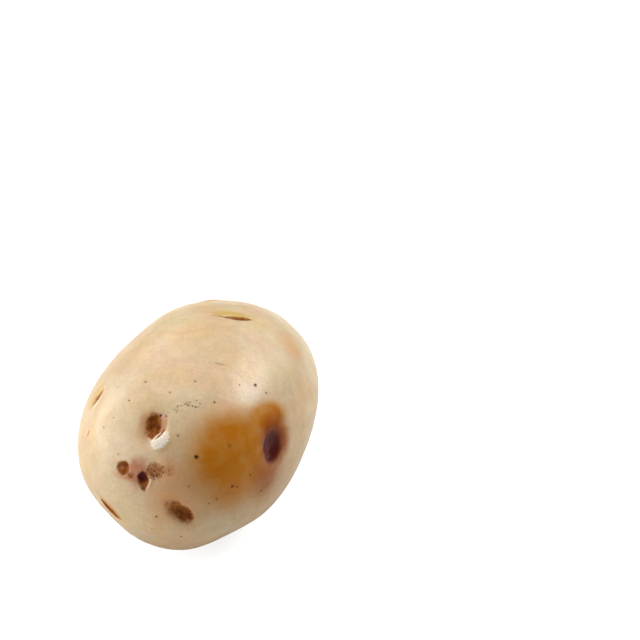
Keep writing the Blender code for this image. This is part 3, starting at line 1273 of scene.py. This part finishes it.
    def shine(self, bench: Bench, stains: dict[Stain, bpy.types.NodeSocket], dot: bpy.types.NodeSocket) -> bpy.types.NodeSocket:
        """Works out the roughness: waxy skin, dull corky eyes.

        Args:
            bench: The material being made.
            stains: The painted strengths.
            dot: How strongly a dot shows.

        Returns:
            The roughness.
        """
        spread = bench.ease(bench.noise(0.006, 3.0, 0.55, 0.0, 0.47), 0.3, 0.7, self.roughness - 0.05, self.roughness + 0.07)
        dull = bench.math("MAXIMUM", stains[Stain.PIT], stains[Stain.CRUST])
        dull = bench.math("MAXIMUM", dull, dot)
        rise = bench.math("MULTIPLY", dull, self.pit_roughness - self.roughness)
        return bench.math("ADD", spread, rise, clamp=True)

    def relief(self, bench: Bench, stains: dict[Stain, bpy.types.NodeSocket]) -> bpy.types.NodeSocket:
        """Works out the finest relief: pebbly skin and cracked cork, under what the mesh holds.

        Args:
            bench: The material being made.
            stains: The painted strengths.

        Returns:
            The surface direction.
        """
        pebbles = bench.noise(0.0011, 2.0, 0.5, 0.0, 0.17)
        patches = bench.ease(bench.noise(0.007, 2.0, 0.5, 0.0, 0.71), 0.42, 0.68, 0.15, 0.6)
        patches = bench.math("ADD", patches, bench.math("MULTIPLY", stains[Stain.PEBBLE], 2.5))
        skin = bench.math("MULTIPLY", pebbles, patches)
        waves = bench.math("MULTIPLY", bench.noise(0.0045, 2.0, 0.5, 0.0, 0.91), 1.6)
        height = bench.math("ADD", skin, waves)
        normal = bench.bump(height, 0.00005, 0.8)
        cork = bench.noise(0.0006, 4.0, 0.65, 0.0, 0.29)
        rough = bench.math("MAXIMUM", stains[Stain.PIT], stains[Stain.CRUST])
        rough = bench.math("MAXIMUM", rough, bench.math("MULTIPLY", stains[Stain.WAX], 0.9))
        return bench.bump(bench.math("MULTIPLY", cork, rough), 0.00022, 1.0, normal)


@dataclass
class PotatoSkin:
    """The whole potato: one closed skin with its eyes, dots and stem scar."""

    lump_height: float = 0.00010
    lump_length: float = 0.0075
    eye_margin: float = 0.0016
    fine_margin: float = 0.0006
    speck_margin: float = 0.0009
    finish: SkinFinish = SkinFinish()

    def build(self, solid: bpy.types.Object, camera: PhotoCamera) -> bpy.types.Object:
        """Builds and dresses the potato.

        Args:
            solid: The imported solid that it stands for.
            camera: The photograph's viewpoint.

        Returns:
            The potato.
        """
        low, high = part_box(solid.name)
        body = FineBody()
        mesh = body.build(solid, low, high)
        skin_map = SkinMap(camera, mesh.copy(), low, high)
        marks = [(mark, skin_map.patch(mark.place)) for mark in (*TINTS, *MOUNDS, *SEEN_EYES, *HIDDEN_EYES)]
        specks = Specks(skin_map)
        coarse = [(patch, self.eye_margin) for mark, patch in marks if self.carved(mark)]
        dots = [(patch, self.speck_margin) for patch, _ in specks.spots]
        body.refine(mesh, coarse + dots, passes=8)
        finest = [(patch, self.fine_margin) for mark, patch in marks if self.carved(mark) and mark.fineness > 1]
        body.refine(mesh, finest, passes=8)
        self.work(mesh, marks, specks)
        potato = bpy.data.objects.new("potato_skin", mesh)
        bpy.context.scene.collection.objects.link(potato)
        return potato

    @staticmethod
    def carved(mark: Eye | Mound | Tint) -> bool:
        """Says whether a mark shapes the skin, and doesn't only tint it."""
        return not isinstance(mark, Tint)

    def work(self, mesh: bpy.types.Mesh, marks: list[tuple[Eye | Mound | Tint, Patch]], specks: Specks) -> None:
        """Shapes and paints the fine skin.

        Args:
            mesh: The refined body.
            marks: Each mark and its patch.
            specks: The skin dots.
        """
        relief = Relief.of(mesh)
        specks.store(mesh, relief.points)
        resting = relief.points[:, 2] <= 0.0
        specks.carve(relief)
        for mark, patch in marks:
            mark.carve(relief, patch)
        lumps = ripple(relief.points, self.lump_length, 3.3) + 0.4 * ripple(relief.points, self.lump_length / 3, 8.1)
        relief.lift(self.lump_height * lumps)
        relief.points[:, 2] = np.maximum(relief.points[:, 2], 0.0)
        relief.points[resting, 2] = 0.0
        write_points(mesh, relief.points)
        for stain, amount in relief.stains.items():
            mesh.attributes.new(stain.value, "FLOAT", "POINT").data.foreach_set("value", amount)
        mesh.materials.append(self.finish.make())
        mesh.shade_smooth()


@dataclass(frozen=True)
class SoftBox:
    """A soft rectangular light: where it stands, in degrees and metres, its size and power."""

    name: str
    azimuth: float
    elevation: float
    distance: float
    width: float
    height: float
    power: float
    colour: Colour = (1.0, 1.0, 1.0)

    def add(self, target: Vector) -> None:
        """Stands the light round a point and turns it there.

        Args:
            target: The point that it lights.
        """
        around, rise = math.radians(self.azimuth), math.radians(self.elevation)
        level = math.cos(rise)
        way = Vector((math.sin(around) * level, -math.cos(around) * level, math.sin(rise)))
        data = bpy.data.lights.new(self.name, "AREA")
        data.shape = "RECTANGLE"
        data.size = self.width
        data.size_y = self.height
        data.energy = self.power
        data.color = self.colour
        light = bpy.data.objects.new(self.name, data)
        light.location = target + way * self.distance
        light.rotation_mode = "QUATERNION"
        light.rotation_quaternion = (-way).to_track_quat("-Z", "Y")
        light.visible_camera = False
        bpy.context.scene.collection.objects.link(light)


@dataclass
class Studio:
    """A plain pale floor, soft lights and a white surround."""

    floor_radius: float = 1.5
    floor_sides: int = 128
    white: float = 0.97
    ambient: Colour = (0.048, 0.047, 0.046)
    bounce: Colour = (0.80, 0.78, 0.75)
    lights: tuple[SoftBox, ...] = (
        SoftBox("left_softbox", -103, 20, 0.75, 0.22, 0.50, 1.00),
        SoftBox("left_low_softbox", -85, 4, 0.75, 0.50, 0.16, 0.63),
        SoftBox("left_front_softbox", -55, 25, 0.75, 0.40, 0.40, 1.48),
        SoftBox("left_back_softbox", -135, 40, 0.75, 0.40, 0.40, 0.51),
        SoftBox("top_left_softbox", -90, 65, 0.75, 0.40, 0.40, 0.40),
        SoftBox("top_softbox", 180, 75, 0.75, 0.50, 0.50, 0.99),
        SoftBox("back_right_softbox", 130, 42, 0.75, 0.42, 0.33, 2.77),
        SoftBox("back_low_softbox", 165, 22, 0.75, 0.50, 0.30, 0.40),
        SoftBox("front_softbox", -15, 32, 0.75, 0.40, 0.40, 1.00),
    )

    def build(self, target: Vector) -> None:
        """Builds the studio round a point.

        Args:
            target: The middle of what is lit.
        """
        self.floor()
        self.world()
        for light in self.lights:
            light.add(target)
        view = bpy.context.scene.view_settings
        view.view_transform = "Standard"
        view.look = "High Contrast"

    def floor(self) -> None:
        """Lays the round floor, which fades into the white surround."""
        disc = bmesh.new()
        bmesh.ops.create_circle(disc, cap_ends=True, radius=self.floor_radius, segments=self.floor_sides)
        mesh = bpy.data.meshes.new("floor")
        disc.to_mesh(mesh)
        disc.free()
        mesh.materials.append(self.floor_finish())
        floor = bpy.data.objects.new("floor", mesh)
        bpy.context.scene.collection.objects.link(floor)

    def floor_finish(self) -> bpy.types.Material:
        """Makes the floor's matt white, which is plain white far away.

        Returns:
            The material.
        """
        bench = Bench("pale_floor")
        nodes, links = bench.tree.nodes, bench.tree.links
        bench.shader.inputs["Base Color"].default_value = (*self.bounce, 1.0)
        bench.shader.inputs["Roughness"].default_value = 0.9
        bench.shader.inputs["Specular IOR Level"].default_value = 0.0
        seen = nodes.new("ShaderNodeBsdfDiffuse")
        seen.inputs["Color"].default_value = (0.85, 0.85, 0.85, 1.0)
        glow = nodes.new("ShaderNodeEmission")
        glow.inputs["Color"].default_value = (1.0, 1.0, 1.0, 1.0)
        glow.inputs["Strength"].default_value = self.white
        length = nodes.new("ShaderNodeVectorMath")
        length.operation = "LENGTH"
        links.new(bench.object_place, length.inputs[0])
        share = bench.ease(length.outputs["Value"], 0.05, 0.35, 0.62, 1.0)
        plain = nodes.new("ShaderNodeMixShader")
        links.new(share, plain.inputs[0])
        links.new(seen.outputs[0], plain.inputs[1])
        links.new(glow.outputs[0], plain.inputs[2])
        path = nodes.new("ShaderNodeLightPath")
        both = nodes.new("ShaderNodeMixShader")
        links.new(path.outputs["Is Camera Ray"], both.inputs[0])
        links.new(bench.shader.outputs[0], both.inputs[1])
        links.new(plain.outputs[0], both.inputs[2])
        links.new(both.outputs[0], nodes["Material Output"].inputs["Surface"])
        return bench.material

    def world(self) -> None:
        """Surrounds the scene with white to look at and a dim light."""
        world = bpy.data.worlds.new("studio")
        world.use_nodes = True
        nodes, links = world.node_tree.nodes, world.node_tree.links
        ambient = nodes["Background"]
        ambient.inputs["Color"].default_value = (*self.ambient, 1.0)
        seen = nodes.new("ShaderNodeBackground")
        seen.inputs["Color"].default_value = (1.0, 1.0, 1.0, 1.0)
        seen.inputs["Strength"].default_value = self.white
        path = nodes.new("ShaderNodeLightPath")
        both = nodes.new("ShaderNodeMixShader")
        links.new(path.outputs["Is Camera Ray"], both.inputs[0])
        links.new(ambient.outputs[0], both.inputs[1])
        links.new(seen.outputs[0], both.inputs[2])
        links.new(both.outputs[0], nodes["World Output"].inputs["Surface"])
        bpy.context.scene.world = world


def main() -> None:
    """Builds the camera, the potato and the studio."""
    logging.basicConfig(level=logging.INFO, format="%(name)s: %(message)s")
    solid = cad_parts["potato"]
    low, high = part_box("potato")
    middle = (low + high) / 2
    camera = PhotoCamera()
    camera.add(middle)
    LOG.info("camera at %s", tuple(round(value, 3) for value in camera.position(middle)))
    potato = PotatoSkin().build(solid, camera)
    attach(potato, "root")
    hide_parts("potato")
    LOG.info("%s has %d points and %d faces", potato.name, len(potato.data.vertices), len(potato.data.polygons))
    Studio().build(middle)
    LOG.info("studio built")


if __name__ == "__main__":
    main()
